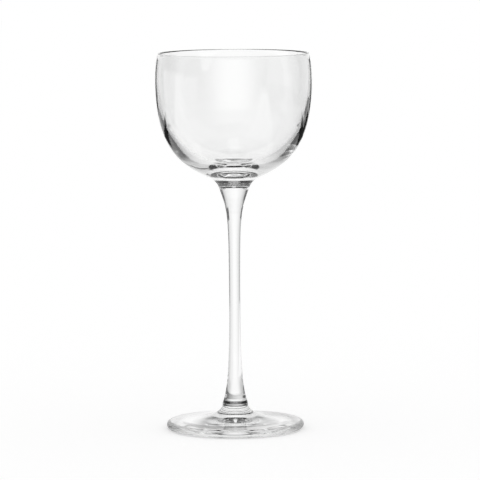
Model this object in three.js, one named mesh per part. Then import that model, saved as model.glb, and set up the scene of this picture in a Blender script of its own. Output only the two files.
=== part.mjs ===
// A pony glass: a small stemmed drinking glass of clear, colourless glass.
// Three pieces are made apart and fused at two flat seams: bowl, stem and foot.
// Units are millimetres, +Z is up, and the glass stands on the plane z = 0 with its axis on Z.

import * as THREE from "three";

// Foot: a thin disc with a round edge, hollowed underneath, that sweeps up to the stem
const footRadius = 29.4;
const footEdgeThickness = 3.5;
const footHeight = 10;
const restRingWidth = 4.2;
const footHollowDepth = 1.2;
const footFlareTilt = 20;
const footSlope = 4;

// Stem: drawn to a waist, and flared to a seam at each end
const stemLength = 93.6;
const stemFootRadius = 5.45;
const stemCollarHeight = 1;
const stemFootTilt = 19;
const stemWaistRadius = 2.4;
const stemWaistHeight = 43.5;
const stemBowlRadius = 6.5;
const stemBowlTilt = 20;

// Bowl: widest below the lip, thin at the lip and thick at the base
const bowlHeight = 57.4;
const bowlRadius = 33.4;
const bowlWidestDepth = 10.5;
const rimRadius = 31.75;
const lipThickness = 1.1;
const lipTilt = 26;
const wallThickness = 1.1;
const baseThickness = 8.2;
const buttonRadius = 10.1;
const buttonHeight = 4.1;
const buttonTilt = 23;
const buttonSeamTilt = 13;

// Fullness of the curves: how far a curve keeps its end's direction, as a share of its own span
const footFlareFullness = 0.45;
const footWebFullness = 0.84;
const stemFootFullness = 0.155;
const stemBelowWaistFullness = 0.7;
const stemAboveWaistFullness = 0.8;
const stemBowlFullness = 0.22;
const buttonFullness = 0.35;
const bowlUnderFullness = 0.66;
const bowlSideFullness = 0.66;
const bowlInsideFullness = 0.9;
const bowlFloorFullness = 0.3;
const lipFullness = 0.14;
const shoulderFullness = 0.25;

// Look of the glass: clear, with the faint warm grey that it shows on white, and a bright polish
const glassColor = 0xf4f5f3;
const glassOpacity = 0.35;
const glassRoughness = 0.03;

// Facets round the axis, and steps along each kind of curve
const roundFacets = 56;
const longSteps = 12;
const shortSteps = 6;
const lipSteps = 6;
const edgeSteps = 8;

// Heights of the seams and of the bowl's main levels
const footSeam = footHeight;
const bowlSeam = footSeam + stemLength;
const lipTop = bowlSeam + bowlHeight;
const bowlWidest = lipTop - bowlWidestDepth;
const bowlFloor = bowlSeam + baseThickness;

// A point of a profile: its distance from the axis and its height
function point(radius, height) {
  return new THREE.Vector2(radius, height);
}

// A unit direction in a profile, by its angle in degrees from straight out, turned upwards
function heading(degrees) {
  const angle = THREE.MathUtils.degToRad(degrees);
  return new THREE.Vector2(Math.cos(angle), Math.sin(angle));
}

// A smooth curve that leaves one point and reaches another in given directions
function sweep(start, leaving, startReach, end, arriving, endReach) {
  const first = start.clone().addScaledVector(leaving, startReach);
  const last = end.clone().addScaledVector(arriving, -endReach);
  return new THREE.CubicBezierCurve(start, first, last, end);
}

// A half round about a centre, anticlockwise from an angle in degrees
function halfRound(centre, radius, from) {
  const start = THREE.MathUtils.degToRad(from);
  return new THREE.EllipseCurve(centre.x, centre.y, radius, radius, start, start + Math.PI);
}

// One closed solid of glass, turned about Z from a profile that starts and ends on the axis
function turnedPiece(name, stretches) {
  const profile = [];
  for (const [curve, steps] of stretches) {
    const points = curve.getPoints(steps);
    profile.push(...(profile.length > 0 ? points.slice(1) : points));
  }
  const geometry = new THREE.LatheGeometry(profile, roundFacets);
  geometry.rotateX(Math.PI / 2);
  const material = new THREE.MeshStandardMaterial({
    color: glassColor,
    roughness: glassRoughness,
    metalness: 0,
    transparent: true,
    opacity: glassOpacity,
  });
  const mesh = new THREE.Mesh(geometry, material);
  mesh.name = name;
  return mesh;
}

function makeFoot() {
  const edgeRadius = footEdgeThickness / 2;
  const edgeCentre = point(footRadius - edgeRadius, edgeRadius);
  const ringInside = edgeCentre.x - restRingWidth;
  const hollowTop = point(0, footHollowDepth);
  const ringStart = point(ringInside, 0);
  const ringEnd = point(edgeCentre.x, 0);
  const edgeTop = point(edgeCentre.x, footEdgeThickness);
  const seamEdge = point(stemFootRadius, footSeam);
  const seamCentre = point(0, footSeam);
  const hollowBend = point(ringInside / 2, footHollowDepth);
  const webReach = (edgeTop.x - seamEdge.x) * footWebFullness;
  const flareReach = (seamEdge.y - edgeTop.y) * footFlareFullness;
  return turnedPiece("foot", [
    [new THREE.QuadraticBezierCurve(hollowTop, hollowBend, ringStart), shortSteps],
    [new THREE.LineCurve(ringStart, ringEnd), 1],
    [halfRound(edgeCentre, edgeRadius, -90), edgeSteps],
    [
      sweep(
        edgeTop, heading(180 - footSlope), webReach,
        seamEdge, heading(90 + footFlareTilt), flareReach,
      ),
      longSteps,
    ],
    [new THREE.LineCurve(seamEdge, seamCentre), 1],
  ]);
}

function makeStem() {
  const footCentre = point(0, footSeam);
  const footEdge = point(stemFootRadius, footSeam);
  const collarEdge = point(stemFootRadius, footSeam + stemCollarHeight);
  const waist = point(stemWaistRadius, footSeam + stemWaistHeight);
  const bowlEdge = point(stemBowlRadius, bowlSeam);
  const bowlCentre = point(0, bowlSeam);
  const below = waist.y - collarEdge.y;
  const above = bowlEdge.y - waist.y;
  const up = heading(90);
  return turnedPiece("stem", [
    [new THREE.LineCurve(footCentre, footEdge), 1],
    [new THREE.LineCurve(footEdge, collarEdge), 1],
    [
      sweep(
        collarEdge, heading(90 + stemFootTilt), below * stemFootFullness,
        waist, up, below * stemBelowWaistFullness,
      ),
      longSteps,
    ],
    [
      sweep(
        waist, up, above * stemAboveWaistFullness,
        bowlEdge, heading(90 - stemBowlTilt), above * stemBowlFullness,
      ),
      longSteps,
    ],
    [new THREE.LineCurve(bowlEdge, bowlCentre), 1],
  ]);
}

function makeBowl() {
  const seamCentre = point(0, bowlSeam);
  const seamEdge = point(stemBowlRadius, bowlSeam);
  const buttonEdge = point(buttonRadius, bowlSeam + buttonHeight);
  const widestOutside = point(bowlRadius, bowlWidest);
  const widestInside = point(bowlRadius - wallThickness, bowlWidest);
  const lipRadius = lipThickness / 2;
  const lipCentre = point(rimRadius, lipTop - lipRadius);
  const lipOut = heading(lipTilt);
  const lipOutside = lipCentre.clone().addScaledVector(lipOut, lipRadius);
  const lipInside = lipCentre.clone().addScaledVector(lipOut, -lipRadius);
  const floorCentre = point(0, bowlFloor);
  const buttonReach = buttonHeight * buttonFullness;
  const underReach = (widestOutside.x - buttonEdge.x) * bowlUnderFullness;
  const sideReach = (widestOutside.y - buttonEdge.y) * bowlSideFullness;
  const shoulderReach = (lipOutside.y - widestOutside.y) * shoulderFullness;
  const lipReach = (lipOutside.y - widestOutside.y) * lipFullness;
  const insideReach = (widestInside.y - floorCentre.y) * bowlInsideFullness;
  const floorReach = widestInside.x * bowlFloorFullness;
  const up = heading(90);
  const down = heading(-90);
  const alongLip = heading(90 + lipTilt);
  const buttonOut = heading(buttonTilt);
  return turnedPiece("bowl", [
    [new THREE.LineCurve(seamCentre, seamEdge), 1],
    [
      sweep(
        seamEdge, heading(90 - buttonSeamTilt), buttonReach,
        buttonEdge, buttonOut, buttonReach,
      ),
      shortSteps,
    ],
    [sweep(buttonEdge, buttonOut, underReach, widestOutside, up, sideReach), longSteps],
    [sweep(widestOutside, up, shoulderReach, lipOutside, alongLip, lipReach), shortSteps],
    [halfRound(lipCentre, lipRadius, lipTilt), lipSteps],
    [sweep(lipInside, heading(lipTilt - 90), lipReach, widestInside, down, shoulderReach), shortSteps],
    [sweep(widestInside, down, insideReach, floorCentre, heading(180), floorReach), longSteps],
  ]);
}

const ponyGlass = new THREE.Group();
ponyGlass.name = "pony_glass";
ponyGlass.add(makeFoot(), makeStem(), makeBowl());

export default ponyGlass;
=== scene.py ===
"""A pony glass: a small stemmed drinking glass, on a plain white table in a soft white studio."""

import math

import bmesh
import bpy
from bpy.props import FloatProperty, FloatVectorProperty, IntProperty, PointerProperty
from mathutils import Matrix, Vector


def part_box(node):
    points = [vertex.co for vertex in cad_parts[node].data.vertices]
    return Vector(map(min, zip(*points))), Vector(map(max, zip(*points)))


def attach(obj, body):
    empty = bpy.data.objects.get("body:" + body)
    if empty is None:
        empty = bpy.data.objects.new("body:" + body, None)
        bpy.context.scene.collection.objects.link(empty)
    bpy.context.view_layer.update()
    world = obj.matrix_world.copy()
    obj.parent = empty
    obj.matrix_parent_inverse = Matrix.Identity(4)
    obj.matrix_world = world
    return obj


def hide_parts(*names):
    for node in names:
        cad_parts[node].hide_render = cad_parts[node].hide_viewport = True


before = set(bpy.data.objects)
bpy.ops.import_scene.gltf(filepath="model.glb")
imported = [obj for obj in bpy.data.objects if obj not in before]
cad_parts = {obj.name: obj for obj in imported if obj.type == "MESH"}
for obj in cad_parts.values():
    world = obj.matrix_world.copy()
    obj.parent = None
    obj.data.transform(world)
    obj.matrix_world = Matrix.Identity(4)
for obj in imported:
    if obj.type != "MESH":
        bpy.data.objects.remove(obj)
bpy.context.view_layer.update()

bl_info = {
    "name": "Pony Glass",
    "version": (1, 0, 0),
    "blender": (4, 5, 0),
    "location": "View3D > Sidebar > Pony Glass",
    "description": "Builds a pony glass of clear glass from its sizes, and a white studio round it",
    "category": "Object",
}

BODY = "root"
MILLIMETRE = 0.001
WHITE = (1.0, 1.0, 1.0, 1.0)

# The solids' own boxes give the sizes that both models share
FOOT_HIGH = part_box("foot")[1]
STEM_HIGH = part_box("stem")[1]
BOWL_LOW, BOWL_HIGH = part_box("bowl")

# Corners closer than the first gap are one, and a face within the second gap of a seam lies in it,
# in metres
WELD_GAP = 1e-7
SEAM_GAP = 1e-6

# Detail of the noise in the glass, and the places of a Mix node's colours among its sockets
CLOUD_DETAIL = 2.0
WAVE_DETAIL = 1.0
MIX_FIRST, MIX_SECOND, MIX_RESULT = 6, 7, 2

# The lengths of the stage are in millimetres, and its angles in degrees from straight behind the glass

# How the light changes round the glass: from one angle to another, the level changes by the third value
FALL_OFF = ((6, 20, -0.10), (20, 42, -0.20), (38, 66, -0.68), (124, 174, 0.90))
# The same for the light on the table, and on the table close to the foot
TABLE_FALL_OFF = ((6, 20, -0.10), (20, 42, -0.20), (45, 70, -0.15), (140, 172, 0.15))
NEAR_FALL_OFF = ((10, 34, -0.35),)
# Distances from the glass between which the table takes on the light of the walls, and the light
# by the foot
FAR_TABLE = (360, 500)
NEAR_TABLE = (80, 55)
# Lanes of painted light on the table, seen only in the glass: the angle, to the left when above 0, the
# distances from the glass between which the lane runs, its half-width and its level
LANES = (
    (45, 60, 420, 42, 1.0),
    (90, 60, 4000, 80, 1.0),
    (-135, 60, 1000, 68, 1.0),
    (-45, 60, 420, 42, 0.3),
    (-90, 60, 4000, 80, 0.3),
    (135, 60, 1000, 68, 0.3),
)
# The lanes that go on up the foot of the wall: the angle, the half-width and the level
WALL_LANES = ((90, 80, 1.0), (-90, 80, 0.3))
# A lane has faded out at this share of its half-width
LANE_EDGE = 1.6
# It is full from this share of its nearer distance on, and gone at this share of its farther one
LANE_RISE = 1.5
LANE_FALL = 1.15
# It begins within this length ahead of the glass, so that it doesn't run on at the other side
LANE_START = 20
# The line on the table, to the left of straight behind, that stays bright by the stem between the
# patches of painted shadow
CLEAR_LINE = 45
# The fades of the painted shadow by the stem, seen only in the glass: of its patches and of its round
# patch under the stem, from outside to inside, as shares of their radius
PATCH_EDGE = (1.1, 0.9)
SHADOW_EDGE = (1.15, 0.9)
# A soft glow at the left, on the far table and on the foot of the wall: its angles, its fade beyond them
# and its level
GLOW_FROM, GLOW_TO, GLOW_FADE, GLOW_LEVEL = 58, 122, 8, 0.55
# Half of the surround's section: (radius, height), from the table to the top
SURROUND = ((1200, 0), (1200, 900), (700, 1350), (0, 1500))
# Heights between which the light of the walls fades upwards, and the light on the foot of the wall
WALL_TOP = (950, 750)
LOW_WALL = (190, 175)
# The bright slot overhead: the heights between which it begins, the angles in radians between which it
# ends, and the share of its half-width where its fade begins
SLOT_RISE = (1150, 1350)
SLOT_TURN = (1.6, 1.4)
SLOT_EDGE = 0.7
# The dark card: (radius, height) of its inner and its outer edge, the angle that it spans to each side,
# the angle where its fade begins, and its faces to each side
CARD = ((9, 86), (24, 78))
CARD_SPAN = 50
CARD_FADE = 30
CARD_FACETS = 16
# Dark flags behind the bowl: the places (to the right, behind) of both ends of each, and the heights of
# its lower and upper edge
FLAGS = (
    ((-73, 86), (-44, 44), 128, 160),
    ((44, 44), (73, 86), 128, 160),
    ((60, 100), (95, 100), 92, 120),
)
# A dark wing beside the bowl's underside, one at each side: its corners (to the side, behind, up)
WING = ((60, 15, 123), (32, 15, 123), (55, 65, 95), (110, 65, 95))
# Level of the flags and the wings
FLAG_LEVEL = 0.06

# Whiteness of the table's paper, the light of its own that it is seen with, and the studio's light
PAPER = 0.8
PAPER_SHINE = 0.52
STUDIO_LIGHT = 0.6
# Faces round the table and the surround
STAGE_FACETS = 96
# Bounces of light, enough for every wall of glass in a row
GLASS_BOUNCES = 32
SHINE_BOUNCES = 16
# The camera's sensor in millimetres, and the nearest and farthest that it sees in metres
SENSOR_WIDTH = 36.0
CLIP_START, CLIP_END = 0.01, 100.0


def length(name, description, millimetres):
    """A size that a user may change, given in millimetres and kept in metres."""
    return FloatProperty(
        name=name, description=description, default=millimetres * MILLIMETRE,
        min=0.0, precision=4, subtype="DISTANCE", unit="LENGTH",
    )


def boxed(name, description, metres):
    """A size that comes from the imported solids."""
    return length(name, description, metres / MILLIMETRE)


def slant(name, description, degrees):
    """An angle of a profile."""
    return FloatProperty(
        name=name, description=description, default=math.radians(degrees),
        subtype="ANGLE", unit="ROTATION",
    )


def share(name, description, value):
    """A plain number from nothing to a full share."""
    return FloatProperty(
        name=name, description=description, default=value, min=0.0, max=1.0, subtype="FACTOR",
    )


class FootSizes(bpy.types.PropertyGroup):
    """Sizes of the foot, a thin disc with a round edge that sweeps up to the stem."""

    radius: boxed("Radius", "From the axis to the round edge", FOOT_HIGH.x)
    height: boxed("Height", "From the table to the seam with the stem", FOOT_HIGH.z)
    edge_thickness: length("Edge thickness", "Thickness of the round edge", 3.5)
    ring_width: length("Rest ring width", "Width of the flat ring that stands on the table", 4.2)
    hollow_depth: length("Hollow depth", "How far the underside rises at the axis", 1.2)
    flare_tilt: slant("Flare tilt", "Lean of the flare at the seam", 20)
    slope: slant("Slope", "Rise of the upper face at the edge", 4)
    flare_fullness: share("Flare fullness", "How long the flare keeps its lean", 0.45)
    web_fullness: share("Web fullness", "How far the upper face runs straight", 0.84)


class StemSizes(bpy.types.PropertyGroup):
    """Sizes of the stem, drawn to a waist and flared at both ends."""

    foot_radius: length("Radius at the foot", "Radius at the seam with the foot", 5.45)
    collar_height: length("Collar height", "Height of the straight collar over the foot", 1.0)
    foot_tilt: slant("Lower tilt", "Lean of the stem over the collar", 19)
    waist_radius: length("Waist radius", "Radius at the thinnest place", 2.4)
    waist_height: length("Waist height", "Height of the thinnest place over the foot's seam", 43.5)
    bowl_radius: boxed("Radius at the bowl", "Radius at the seam with the bowl", STEM_HIGH.x)
    bowl_tilt: slant("Upper tilt", "Lean of the stem under the bowl", 20)
    foot_fullness: share("Lower fullness", "How long the stem keeps its lower lean", 0.155)
    below_waist: share("Fullness below the waist", "How far the waist runs down straight", 0.7)
    above_waist: share("Fullness above the waist", "How far the waist runs up straight", 0.8)
    bowl_fullness: share("Upper fullness", "How long the stem keeps its upper lean", 0.22)


class BowlSizes(bpy.types.PropertyGroup):
    """Sizes of the bowl, thin at the lip and thick at the base."""

    radius: boxed("Radius", "Outside radius at the widest place", BOWL_HIGH.x)
    widest_depth: length("Widest depth", "From the lip down to the widest place", 10.5)
    rim_radius: length("Rim radius", "From the axis to the middle of the lip", 31.75)
    lip_thickness: length("Lip thickness", "Thickness of the rounded lip", 1.1)
    lip_tilt: slant("Lip tilt", "Lean of the lip towards the axis", 26)
    wall: length("Wall", "Thickness of the wall at the widest place", 1.1)
    base: length("Base", "Thickness of the glass on the axis", 8.2)
    button_radius: length("Button radius", "Radius where the button meets the bowl", 10.1)
    button_height: length("Button height", "Height of the button over the seam", 4.1)
    button_tilt: slant("Button tilt", "Rise of the underside where it leaves the button", 23)
    seam_tilt: slant("Seam tilt", "Lean of the button at the seam", 13)
    button_fullness: share("Button fullness", "How round the button is", 0.35)
    under_fullness: share("Underside fullness", "How far the underside runs out", 0.66)
    side_fullness: share("Side fullness", "How far the side runs down", 0.66)
    inside_fullness: share("Inside fullness", "How far the inside wall runs down", 0.9)
    floor_fullness: share("Floor fullness", "How far the inside floor runs out", 0.3)
    lip_fullness: share("Lip fullness", "How long the wall keeps the lip's lean", 0.14)
    shoulder_fullness: share("Shoulder fullness", "How far the widest place runs up", 0.25)


class GlassLook(bpy.types.PropertyGroup):
    """Look of the clear glass, and how finely its pieces are cut."""

    tint: FloatVectorProperty(
        name="Tint", description="Colour that the glass gives to light", subtype="COLOR",
        size=3, min=0.0, max=1.0, default=(1.0, 1.0, 1.0),
    )
    shade: FloatVectorProperty(
        name="Shade", description="Colour of the glass where it is least clear", subtype="COLOR",
        size=3, min=0.0, max=1.0, default=(0.992, 0.995, 0.993),
    )
    wave_length: length("Wave length", "Size of the fine waves that drawing leaves in the surface", 14)
    wave_height: length("Wave height", "Height of the fine waves", 0.012)
    cloud_length: length("Cloud length", "Size of the places where the clearness changes", 30)
    bending: FloatProperty(
        name="Refractive index", description="How strongly the glass bends light",
        default=1.52, min=1.0, max=2.5,
    )
    rounds: IntProperty(
        name="Facets", description="Faces round the axis", default=256, min=24, max=512,
    )
    steps: IntProperty(
        name="Steps", description="Faces along each curve of a profile", default=24, min=4, max=48,
    )


class StageLook(bpy.types.PropertyGroup):
    """The table, the studio and the camera."""

    floor_radius: length("Table radius", "Radius of the white table", 4000)
    floor_drop: length("Table gap", "How far the table lies under the glass", 0.15)
    slot_width: length("Slot", "Half-width of the bright slot overhead, behind the glass", 160)
    slot_level: share("Slot level", "Level of the light in the slot", 0.9)
    # Painted shadow on the table by the foot, seen only in the glass: how far its patches reach, how
    # dark it is, and the radius of its round patch under the stem
    patch_radius: length("Patches", "How far the dark patches by the stem reach out", 27)
    shade: share("Shade", "How much the table darkens by the foot", 0.95)
    shadow_radius: length("Shadow radius", "Radius of the dark place under the stem", 16)
    camera_distance: length("Camera distance", "From the axis to the camera", 1462.8)
    camera_height: length("Camera height", "Height of the camera over the table", 237.3)
    camera_pitch: slant("Camera pitch", "How far the camera looks down", 6.096)
    camera_yaw: slant("Camera yaw", "How far the camera looks to the right", 0.094)
    camera_roll: slant("Camera roll", "How far the camera leans to the right", 0.31)
    camera_lens: FloatProperty(
        name="Lens", description="Focal length on a 36 mm sensor", default=258.4,
        min=1.0, unit="CAMERA",
    )


class Wire:
    """An output socket of a node tree. Sums on it add Math nodes to the tree."""

    def __init__(self, board, socket):
        self.board = board
        self.socket = socket

    def __add__(self, other):
        return self.board.math("ADD", self, other)

    def __radd__(self, other):
        return self.board.math("ADD", other, self)

    def __sub__(self, other):
        return self.board.math("SUBTRACT", self, other)

    def __rsub__(self, other):
        return self.board.math("SUBTRACT", other, self)

    def __mul__(self, other):
        return self.board.math("MULTIPLY", self, other)

    def at_least(self, other):
        return self.board.math("MAXIMUM", self, other)

    def without_sign(self):
        return self.board.math("ABSOLUTE", self)

    def cosine(self):
        return self.board.math("COSINE", self)


class Board:
    """A node tree that is written as Python expressions."""

    def __init__(self, tree):
        self.tree = tree
        tree.nodes.clear()

    def add(self, kind, sockets=None, output=0, **settings):
        """Adds a node, with its settings first and then its sockets' values or links."""
        node = self.tree.nodes.new(kind)
        for name, value in settings.items():
            setattr(node, name, value)
        for name, value in (sockets or {}).items():
            if isinstance(value, Wire):
                self.tree.links.new(value.socket, node.inputs[name])
            else:
                node.inputs[name].default_value = value
        return Wire(self, node.outputs[output]) if len(node.outputs) > 0 else None

    def math(self, operation, first, second=0.0):
        """One sum of two values, or of the first alone."""
        return self.add("ShaderNodeMath", {0: first, 1: second}, operation=operation)

    def emission(self, level):
        """White light of a level."""
        return self.add("ShaderNodeEmission", {"Color": WHITE, "Strength": level})

    def mix(self, factor, first, second):
        """The second of two shaders by its share, and the first for the rest."""
        return self.add("ShaderNodeMixShader", {0: factor, 1: first, 2: second})

    def show(self, surface, kind="ShaderNodeOutputMaterial"):
        """Ends the tree with the surface that it shows."""
        self.add(kind, {"Surface": surface})


class Profile:
    """Half a section of a turned piece, drawn from the axis outwards and back to the axis."""

    # Reach of the handles of a quarter round, as a share of its radius
    ARC_REACH = 0.5523

    def __init__(self, radius, height):
        start = Vector((radius, height))
        self.knots = [[start, start, start]]

    def end(self):
        return self.knots[-1][1]

    def curve(self, first, last, end):
        """Goes on to an end, with a handle at either side."""
        self.knots[-1][2] = first
        self.knots.append([last, end, end])

    def line(self, radius, height):
        start = self.end()
        end = Vector((radius, height))
        self.curve(start.lerp(end, 1 / 3), start.lerp(end, 2 / 3), end)

    def sweep(self, leaving, start_reach, end, arriving, end_reach):
        """Leaves in one direction and arrives in another."""
        first = self.end() + heading(leaving) * start_reach
        last = end - heading(arriving) * end_reach
        self.curve(first, last, end)

    def half_round(self, centre, radius, start):
        """Goes anticlockwise round half a circle from an angle."""
        reach = radius * self.ARC_REACH
        for quarter in range(2):
            angle = start + quarter * math.pi / 2
            end = centre + heading(angle + math.pi / 2) * radius
            self.sweep(angle + math.pi / 2, reach, end, angle + math.pi, reach)


def heading(angle):
    """A unit direction in a profile, by its angle from straight out, turned upwards."""
    return Vector((math.cos(angle), math.sin(angle)))


def profile_mesh(profile, steps):
    """The profile as a Bezier curve in the plane of X and Z, made a mesh of edges."""
    curve = bpy.data.curves.new("profile", "CURVE")
    curve.dimensions = "3D"
    curve.resolution_u = steps
    spline = curve.splines.new("BEZIER")
    spline.bezier_points.add(len(profile.knots) - 1)
    for point, (left, at, right) in zip(spline.bezier_points, profile.knots):
        point.handle_left_type = "FREE"
        point.handle_right_type = "FREE"
        point.co = (at.x, 0.0, at.y)
        point.handle_left = (left.x, 0.0, left.y)
        point.handle_right = (right.x, 0.0, right.y)
    holder = bpy.data.objects.new("profile", curve)
    mesh = bpy.data.meshes.new_from_object(holder)
    bpy.data.objects.remove(holder)
    bpy.data.curves.remove(curve)
    return mesh


def lies_at(face, height):
    """True for a face that lies flat at a height."""
    return all(abs(vert.co.z - height) < SEAM_GAP for vert in face.verts)


def turned_piece(name, profile, seams, look):
    """Turns a profile about the axis into a closed piece of glass, with clear faces at its seams."""
    outline = profile_mesh(profile, look.steps)
    shape = bmesh.new()
    shape.from_mesh(outline)
    bpy.data.meshes.remove(outline)
    bmesh.ops.spin(
        shape, geom=shape.verts[:] + shape.edges[:], cent=(0, 0, 0), axis=(0, 0, 1),
        angle=2 * math.pi, steps=look.rounds, use_merge=True,
    )
    bmesh.ops.remove_doubles(shape, verts=shape.verts, dist=WELD_GAP)
    bmesh.ops.recalc_face_normals(shape, faces=shape.faces)
    for face in shape.faces:
        face.smooth = True
        face.material_index = 1 if any(lies_at(face, seam) for seam in seams) else 0
    for edge in shape.edges:
        kinds = {face.material_index for face in edge.link_faces}
        edge.smooth = len(kinds) == 1
    mesh = bpy.data.meshes.new(name)
    shape.to_mesh(mesh)
    shape.free()
    mesh.materials.append(clear_glass(look))
    mesh.materials.append(fused_seam())
    piece = bpy.data.objects.new(name, mesh)
    bpy.context.scene.collection.objects.link(piece)
    return piece


def show_piece(piece, node):
    """Puts a finished piece on the part's body, in the place of its solid."""
    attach(piece, BODY)
    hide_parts(node)


def new_material(name):
    """A new material, and its empty node tree."""
    material = bpy.data.materials.new(name)
    material.use_nodes = True
    return material, Board(material.node_tree)


def noise(board, place, size, detail):
    """Soft random values that change over a size."""
    return board.add("ShaderNodeTexNoise", {"Vector": place, "Scale": 1 / size, "Detail": detail})


def clear_glass(look):
    """Clear, colourless glass with a bright polish, faint clouds and fine waves."""
    name = "polished_glass"
    if name in bpy.data.materials:
        return bpy.data.materials[name]
    material, board = new_material(name)
    place = board.add("ShaderNodeTexCoord", output="Object")
    clouds = noise(board, place, look.cloud_length, CLOUD_DETAIL)
    colours = {"Factor": clouds, MIX_FIRST: (*look.tint, 1.0), MIX_SECOND: (*look.shade, 1.0)}
    tint = board.add("ShaderNodeMix", colours, MIX_RESULT, data_type="RGBA")
    waves = noise(board, place, look.wave_length, WAVE_DETAIL)
    wavy = board.add("ShaderNodeBump", {"Height": waves, "Distance": look.wave_height})
    surface = board.add(
        "ShaderNodeBsdfPrincipled",
        {
            "Base Color": tint,
            "Roughness": 0.0,
            "IOR": look.bending,
            "Transmission Weight": 1.0,
            "Normal": wavy,
        },
    )
    board.show(surface)
    return material


def fused_seam():
    """The inside of a fused seam, where two pieces are one glass and nothing is seen."""
    name = "fused_seam"
    if name in bpy.data.materials:
        return bpy.data.materials[name]
    material, board = new_material(name)
    board.show(board.add("ShaderNodeBsdfTransparent", {"Color": WHITE}))
    return material


def ramp(board, value, start, end):
    """A share that rises smoothly from 0 where a value is at the start to 1 at the end."""
    limits = {"Value": value, "From Min": start, "From Max": end}
    return board.add("ShaderNodeMapRange", limits, interpolation_type="SMOOTHSTEP")


def reach(board, distance, start, end):
    """A ramp along a distance, from one length in millimetres to another."""
    return ramp(board, distance, start * MILLIMETRE, end * MILLIMETRE)


def swing(board, turn, start, end):
    """A ramp round the glass, from one angle in degrees to another."""
    return ramp(board, turn, math.radians(start), math.radians(end))


def disc(board, distance, radius, edge):
    """A share that is 1 inside a radius and fades out between two shares of it."""
    outside, inside = edge
    return ramp(board, distance, radius * outside, radius * inside)


def axis_of(board, place, axis):
    """One of the three coordinates of a place."""
    return board.add("ShaderNodeSeparateXYZ", {0: place}, axis)


def turn_left(board, place):
    """The angle of a place from straight behind the glass, to the left when above 0."""
    left = axis_of(board, place, "X") * -1.0
    return board.math("ARCTAN2", left, axis_of(board, place, "Y"))


def turn_round(board, place):
    """The angle between a place and straight behind the glass, to either side."""
    return turn_left(board, place).without_sign()


def soft_light(board, turn, fall_off):
    """The level of the light round the glass: bright behind it, darker at its sides."""
    level = 1.0
    for start, end, change in fall_off:
        level = swing(board, turn, start, end) * change + level
    return level


def glow_at(board, place):
    """The level of the soft glow at the left of the glass."""
    turn = turn_left(board, place)
    rise = swing(board, turn, GLOW_FROM - GLOW_FADE, GLOW_FROM)
    return rise * swing(board, turn, GLOW_TO + GLOW_FADE, GLOW_TO) * GLOW_LEVEL


def lane_at(board, place, angle, half_width):
    """A share that is 1 in a straight lane from the glass at an angle to its left."""
    across = axis_of(board, place, "X")
    along = axis_of(board, place, "Y")
    turn = math.radians(angle)
    aside = across * math.cos(turn) + along * math.sin(turn)
    ahead = along * math.cos(turn) - across * math.sin(turn)
    lane = reach(board, aside.without_sign(), half_width * LANE_EDGE, half_width)
    return lane * reach(board, ahead, 0, LANE_START)


def ray_kind(board, kind):
    """One for a ray of a kind, and nothing for any other ray."""
    return board.add("ShaderNodeLightPath", output=kind)


def glass_rays(board):
    """One for a ray that reaches a surface through the glass or off it."""
    return ray_kind(board, "Is Glossy Ray").at_least(ray_kind(board, "Is Transmission Ray"))


def seen_rays(board):
    """One for a ray that shows a surface, to the camera or in glass, and nothing for its light."""
    return ray_kind(board, "Is Camera Ray").at_least(glass_rays(board))


class PONYGLASS_OT_foot(bpy.types.Operator):
    """Make the foot"""

    bl_idname = "pony_glass.foot"
    bl_label = "Foot"

    def execute(self, context):
        sizes = context.scene.pony_foot
        stem = context.scene.pony_stem
        edge = sizes.edge_thickness / 2
        edge_centre = Vector((sizes.radius - edge, edge))
        ring_inside = edge_centre.x - sizes.ring_width
        seam = Vector((stem.foot_radius, sizes.height))
        hollow = sizes.hollow_depth
        web_reach = (edge_centre.x - seam.x) * sizes.web_fullness
        flare_reach = (seam.y - sizes.edge_thickness) * sizes.flare_fullness
        profile = Profile(0.0, hollow)
        profile.curve(
            Vector((ring_inside / 3, hollow)), Vector((ring_inside * 2 / 3, hollow * 2 / 3)),
            Vector((ring_inside, 0.0)),
        )
        profile.line(edge_centre.x, 0.0)
        profile.half_round(edge_centre, edge, -math.pi / 2)
        profile.sweep(
            math.pi - sizes.slope, web_reach, seam, math.pi / 2 + sizes.flare_tilt, flare_reach,
        )
        profile.line(0.0, sizes.height)
        piece = turned_piece("foot_glass", profile, [sizes.height], context.scene.pony_look)
        show_piece(piece, "foot")
        return {"FINISHED"}


class PONYGLASS_OT_stem(bpy.types.Operator):
    """Make the stem"""

    bl_idname = "pony_glass.stem"
    bl_label = "Stem"

    def execute(self, context):
        sizes = context.scene.pony_stem
        low = context.scene.pony_foot.height
        high = STEM_HIGH.z
        collar = low + sizes.collar_height
        waist = Vector((sizes.waist_radius, low + sizes.waist_height))
        bowl_edge = Vector((sizes.bowl_radius, high))
        below = waist.y - collar
        above = high - waist.y
        up = math.pi / 2
        profile = Profile(0.0, low)
        profile.line(sizes.foot_radius, low)
        profile.line(sizes.foot_radius, collar)
        profile.sweep(
            up + sizes.foot_tilt, below * sizes.foot_fullness, waist, up, below * sizes.below_waist,
        )
        profile.sweep(
            up, above * sizes.above_waist, bowl_edge, up - sizes.bowl_tilt,
            above * sizes.bowl_fullness,
        )
        profile.line(0.0, high)
        piece = turned_piece("stem_glass", profile, [low, high], context.scene.pony_look)
        show_piece(piece, "stem")
        return {"FINISHED"}


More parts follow.
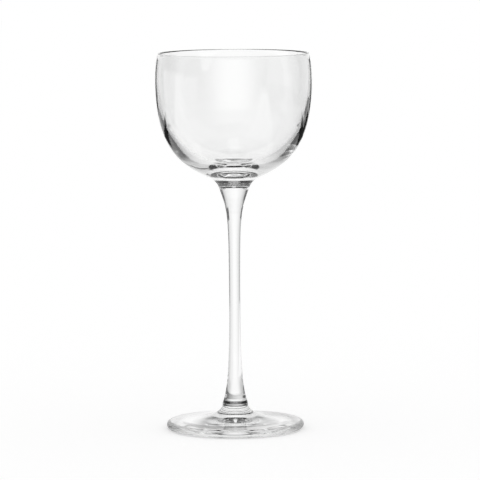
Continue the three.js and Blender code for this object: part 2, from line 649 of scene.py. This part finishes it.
class PONYGLASS_OT_bowl(bpy.types.Operator):
    """Make the bowl"""

    bl_idname = "pony_glass.bowl"
    bl_label = "Bowl"

    def execute(self, context):
        sizes = context.scene.pony_bowl
        low = BOWL_LOW.z
        top = BOWL_HIGH.z
        seam_radius = context.scene.pony_stem.bowl_radius
        button = Vector((sizes.button_radius, low + sizes.button_height))
        outside = Vector((sizes.radius, top - sizes.widest_depth))
        inside = Vector((sizes.radius - sizes.wall, outside.y))
        lip = sizes.lip_thickness / 2
        lip_centre = Vector((sizes.rim_radius, top - lip))
        lip_outside = lip_centre + heading(sizes.lip_tilt) * lip
        floor = Vector((0.0, low + sizes.base))
        up = math.pi / 2
        button_reach = sizes.button_height * sizes.button_fullness
        shoulder_span = lip_outside.y - outside.y
        shoulder_reach = shoulder_span * sizes.shoulder_fullness
        lip_reach = shoulder_span * sizes.lip_fullness
        profile = Profile(0.0, low)
        profile.line(seam_radius, low)
        profile.sweep(up - sizes.seam_tilt, button_reach, button, sizes.button_tilt, button_reach)
        profile.sweep(
            sizes.button_tilt, (outside.x - button.x) * sizes.under_fullness,
            outside, up, (outside.y - button.y) * sizes.side_fullness,
        )
        profile.sweep(up, shoulder_reach, lip_outside, up + sizes.lip_tilt, lip_reach)
        profile.half_round(lip_centre, lip, sizes.lip_tilt)
        profile.sweep(sizes.lip_tilt - up, lip_reach, inside, -up, shoulder_reach)
        profile.sweep(
            -up, (inside.y - floor.y) * sizes.inside_fullness,
            floor, math.pi, inside.x * sizes.floor_fullness,
        )
        piece = turned_piece("bowl_glass", profile, [low], context.scene.pony_look)
        show_piece(piece, "bowl")
        return {"FINISHED"}


class PONYGLASS_OT_stage(bpy.types.Operator):
    """Make the white table, the light round the glass, the white studio and the camera"""

    bl_idname = "pony_glass.stage"
    bl_label = "Stage"

    def execute(self, context):
        scene = context.scene
        stage = scene.pony_stage
        self.make_floor(stage)
        self.make_surround(stage)
        self.make_card()
        self.make_flags()
        self.make_world(scene)
        self.make_camera(scene, stage)
        scene.view_settings.view_transform = "Standard"
        scene.cycles.max_bounces = GLASS_BOUNCES
        scene.cycles.transmission_bounces = GLASS_BOUNCES
        scene.cycles.glossy_bounces = SHINE_BOUNCES
        scene.cycles.transparent_max_bounces = SHINE_BOUNCES
        return {"FINISHED"}

    def stage_object(self, name, shape, material):
        """Adds a thing of the stage to the scene."""
        mesh = bpy.data.meshes.new(name)
        shape.to_mesh(mesh)
        shape.free()
        mesh.materials.append(material)
        item = bpy.data.objects.new(name, mesh)
        bpy.context.scene.collection.objects.link(item)
        return item

    def glass_object(self, name, shape, material):
        """Adds a thing of the stage that is seen only in the glass."""
        item = self.stage_object(name, shape, material)
        item.visible_camera = False
        item.visible_diffuse = False
        item.visible_shadow = False

    def table_light(self, board, place, distance):
        """The level of the light on the table, with its glow and its lanes."""
        turn = turn_round(board, place)
        far = reach(board, distance, *FAR_TABLE)
        level = soft_light(board, turn, TABLE_FALL_OFF) * (1.0 - far)
        level = soft_light(board, turn, FALL_OFF) * far + level
        level = level.at_least(glow_at(board, place) * far)
        close = reach(board, distance, *NEAR_TABLE)
        level = level * (1.0 - close) + soft_light(board, turn, NEAR_FALL_OFF) * close
        for angle, start, end, half_width, strength in LANES:
            lane = lane_at(board, place, angle, half_width) * strength
            lane = lane * reach(board, distance, start, start * LANE_RISE)
            lane = lane * reach(board, distance, end * LANE_FALL, end)
            level = level.at_least(lane)
        return level

    def table_shadow(self, board, place, distance, stage):
        """The painted shadow on the table by the stem, seen only in the glass: patches beside a clear
        line, and a round patch under the stem.
        """
        lean = turn_left(board, place) * 2.0 - math.radians(CLEAR_LINE * 2)
        patch = 0.5 - lean.cosine() * 0.5
        patch = patch * disc(board, distance, stage.patch_radius, PATCH_EDGE)
        return patch.at_least(disc(board, distance, stage.shadow_radius, SHADOW_EDGE)) * stage.shade

    def make_floor(self, stage):
        """The white table: plain paper to the camera, and to the glass painted light of its own, with
        painted shadow by the foot.
        """
        material, board = new_material("white_table")
        place = board.add("ShaderNodeTexCoord", output="Object")
        distance = board.add("ShaderNodeVectorMath", {0: place}, "Value", operation="LENGTH")
        light = self.table_light(board, place, distance)
        # The painted shadow by the foot darkens the painted light that the glass sees on the table
        level = light * (1.0 - self.table_shadow(board, place, distance, stage))
        paper = board.add("ShaderNodeBsdfDiffuse", {"Color": (PAPER, PAPER, PAPER, 1.0)})
        shine = board.emission(seen_rays(board) * PAPER_SHINE)
        table = board.add("ShaderNodeAddShader", {0: paper, 1: shine})
        board.show(board.mix(glass_rays(board), table, board.emission(level)))
        shape = bmesh.new()
        bmesh.ops.create_circle(
            shape, cap_ends=True, segments=STAGE_FACETS, radius=stage.floor_radius,
            matrix=Matrix.Translation((0.0, 0.0, -stage.floor_drop)),
        )
        self.stage_object("table", shape, material)

    def make_surround(self, stage):
        """The walls of the studio as the glass shows them, with a bright slot overhead."""
        material, board = new_material("soft_light")
        place = board.add("ShaderNodeTexCoord", output="Object")
        turn = turn_round(board, place)
        height = axis_of(board, place, "Z")
        level = soft_light(board, turn, FALL_OFF) * reach(board, height, *WALL_TOP)
        low = reach(board, height, *LOW_WALL)
        level = level.at_least(glow_at(board, place) * low)
        for angle, half_width, strength in WALL_LANES:
            level = level.at_least(lane_at(board, place, angle, half_width) * low * strength)
        across = axis_of(board, place, "X").without_sign()
        slot = ramp(board, across, stage.slot_width, stage.slot_width * SLOT_EDGE)
        slot = slot * ramp(board, turn, *SLOT_TURN) * reach(board, height, *SLOT_RISE)
        level = level.at_least(slot * stage.slot_level)
        board.show(board.emission(level))
        shape = bmesh.new()
        section = [(0.0, radius * MILLIMETRE, rise * MILLIMETRE) for radius, rise in SURROUND]
        verts = [shape.verts.new(corner) for corner in section]
        edges = [shape.edges.new(pair) for pair in zip(verts, verts[1:])]
        bmesh.ops.spin(
            shape, geom=[*verts, *edges], cent=(0, 0, 0), axis=(0, 0, 1),
            angle=math.tau, steps=STAGE_FACETS, use_merge=True,
        )
        bmesh.ops.remove_doubles(shape, verts=shape.verts, dist=WELD_GAP)
        self.glass_object("surround", shape, material)

    def make_card(self):
        """A small dark card behind the stem, under the bowl's base, that shows only from above."""
        material, board = new_material("dark_card")
        turn = turn_round(board, board.add("ShaderNodeTexCoord", output="Object"))
        above = 1.0 - board.add("ShaderNodeNewGeometry", output="Backfacing")
        cover = above * swing(board, turn, CARD_SPAN, CARD_FADE)
        clear = board.add("ShaderNodeBsdfTransparent")
        board.show(board.mix(cover, clear, board.emission(0.0)))
        shape = bmesh.new()
        for side in (1, -1):
            corners = [Vector((0.0, radius, height)) * MILLIMETRE for radius, height in CARD]
            verts = [shape.verts.new(corner) for corner in corners]
            edge = shape.edges.new(verts)
            bmesh.ops.spin(
                shape, geom=[*verts, edge], cent=(0, 0, 0), axis=(0, 0, 1),
                angle=math.radians(CARD_SPAN * side), steps=CARD_FACETS,
            )
        bmesh.ops.recalc_face_normals(shape, faces=shape.faces)
        for face in shape.faces:
            if face.normal.z < 0.0:
                face.normal_flip()
        self.glass_object("dark_card", shape, material)

    def make_flags(self):
        """Dark flags and wings that draw the dark lines of the bowl, each seen from one side only."""
        material, board = new_material("dark_flag")
        clear = board.add("ShaderNodeBsdfTransparent")
        behind = board.add("ShaderNodeNewGeometry", output="Backfacing")
        board.show(board.mix(behind, board.emission(FLAG_LEVEL), clear))
        shape = bmesh.new()
        for left, right, low, high in FLAGS:
            corners = ((*left, low), (*right, low), (*right, high), (*left, high))
            shape.faces.new(shape.verts.new(Vector(corner) * MILLIMETRE) for corner in corners)
        for side in (1, -1):
            corners = [(across * side, back, height) for across, back, height in WING]
            wing = shape.faces.new(shape.verts.new(Vector(corner) * MILLIMETRE) for corner in corners)
            wing.normal_update()
            if wing.normal.z > 0.0:
                wing.normal_flip()
        self.glass_object("dark_flags", shape, material)

    def make_world(self, scene):
        """Even white light, and plain white where nothing stands."""
        world = bpy.data.worlds.new("white_studio")
        scene.world = world
        world.use_nodes = True
        board = Board(world.node_tree)
        level = STUDIO_LIGHT + seen_rays(board) * (1.0 - STUDIO_LIGHT)
        light = board.add("ShaderNodeBackground", {"Color": WHITE, "Strength": level})
        board.show(light, "ShaderNodeOutputWorld")

    def make_camera(self, scene, stage):
        """The camera of the photo."""
        lens = bpy.data.cameras.new("camera")
        lens.sensor_width = SENSOR_WIDTH
        lens.lens = stage.camera_lens
        lens.clip_start = CLIP_START
        lens.clip_end = CLIP_END
        camera = bpy.data.objects.new("camera", lens)
        scene.collection.objects.link(camera)
        place = Matrix.Translation((0.0, -stage.camera_distance, stage.camera_height))
        yaw = Matrix.Rotation(-stage.camera_yaw, 4, "Z")
        pitch = Matrix.Rotation(math.pi / 2 - stage.camera_pitch, 4, "X")
        roll = Matrix.Rotation(-stage.camera_roll, 4, "Z")
        camera.matrix_world = place @ yaw @ pitch @ roll
        scene.camera = camera


class PONYGLASS_PT_panel(bpy.types.Panel):
    """Lists the pieces of the pony glass and the stage"""

    bl_label = "Pony Glass"
    bl_idname = "PONYGLASS_PT_panel"
    bl_space_type = "VIEW_3D"
    bl_region_type = "UI"
    bl_category = "Pony Glass"

    def draw(self, context):
        for operator in OPERATORS:
            self.layout.operator(operator.bl_idname)


GROUPS = {
    "pony_foot": FootSizes,
    "pony_stem": StemSizes,
    "pony_bowl": BowlSizes,
    "pony_look": GlassLook,
    "pony_stage": StageLook,
}
OPERATORS = (PONYGLASS_OT_foot, PONYGLASS_OT_stem, PONYGLASS_OT_bowl, PONYGLASS_OT_stage)


def register():
    for group in GROUPS.values():
        bpy.utils.register_class(group)
    for name, group in GROUPS.items():
        setattr(bpy.types.Scene, name, PointerProperty(type=group))
    for operator in OPERATORS:
        bpy.utils.register_class(operator)
    bpy.utils.register_class(PONYGLASS_PT_panel)


def unregister():
    bpy.utils.unregister_class(PONYGLASS_PT_panel)
    for operator in reversed(OPERATORS):
        bpy.utils.unregister_class(operator)
    for name in GROUPS:
        delattr(bpy.types.Scene, name)
    for group in reversed(GROUPS.values()):
        bpy.utils.unregister_class(group)


def main():
    register()
    bpy.ops.pony_glass.foot()
    bpy.ops.pony_glass.stem()
    bpy.ops.pony_glass.bowl()
    bpy.ops.pony_glass.stage()


if __name__ == "__main__":
    main()
